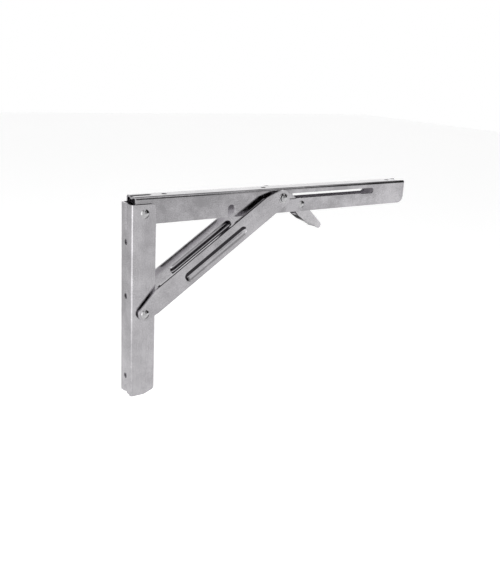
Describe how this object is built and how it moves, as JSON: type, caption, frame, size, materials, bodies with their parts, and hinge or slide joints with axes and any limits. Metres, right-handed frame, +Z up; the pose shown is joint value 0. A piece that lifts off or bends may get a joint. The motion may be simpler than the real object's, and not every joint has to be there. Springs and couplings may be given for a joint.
{
  "type": "folding shelf bracket",
  "caption": "Folding shelf bracket of folded sheet steel: a wall channel, an arm that folds down over it, slotted strut plates and a sprung release lever.",
  "frame": {"origin": "halfway between the outer two wall holes, in the plane of the wall face", "axes": "+X from the wall along the arm, +Y across the bracket away from the camera's side, +Z up"},
  "size_m": [0.4009, 0.0418, 0.2244],
  "materials": {
    "channels": "polished stainless sheet",
    "struts": "polished stainless sheet",
    "lever": "polished stainless sheet",
    "fixings": "turned and headed rivets, bright",
    "spring": "drawn spring wire"
  },
  "bodies": {
    "leg": {"wall_leg": "channels", "main_pivot_pin": "fixings", "main_pivot_sleeve": "fixings", "strut_pivot_pin": "fixings", "strut_spacer_near": "fixings", "strut_spacer_far": "fixings"},
    "arm": {"arm": "channels", "lever_pin": "fixings"},
    "struts": {"strut_near": "struts", "strut_far": "struts", "slot_washer_near": "fixings", "slot_washer_far": "fixings", "slot_head_near": "fixings", "slot_head_far": "fixings"},
    "slot_rivets": {"slot_rivet_near": "fixings", "slot_rivet_far": "fixings", "slot_bush_near": "fixings", "slot_bush_far": "fixings"},
    "lever": {"release_lever": "lever", "lever_spring": "spring"}
  },
  "joints": [
    {"name": "arm_fold", "type": "hinge", "parent": "leg", "child": "arm", "pos_m": [0.0155, 0, 0.1085], "axis": [0, 1, 0], "range_deg": [0, 90]},
    {"name": "strut_swing", "type": "hinge", "parent": "leg", "child": "struts", "pos_m": [0.0145, 0, -0.0015], "axis": [0, 1, 0], "range_deg": [0, 121.08]},
    {"name": "rivet_slide", "type": "slide", "parent": "arm", "child": "slot_rivets", "axis": [1, 0, 0], "range_m": [0, 0.14577]},
    {"name": "lever_press", "type": "hinge", "parent": "arm", "child": "lever", "pos_m": [0.227, 0, 0.1049], "axis": [0, -1, 0], "range_deg": [0, 29], "stiffness_Nm_per_rad": 0.2, "springref_deg": -11.46}
  ],
  "couplings": [
    {"joint": "strut_swing", "follows": "arm_fold", "ratio": 1.3452},
    {"joint": "rivet_slide", "follows": "arm_fold", "m_per_rad": 0.092784}
  ]
}
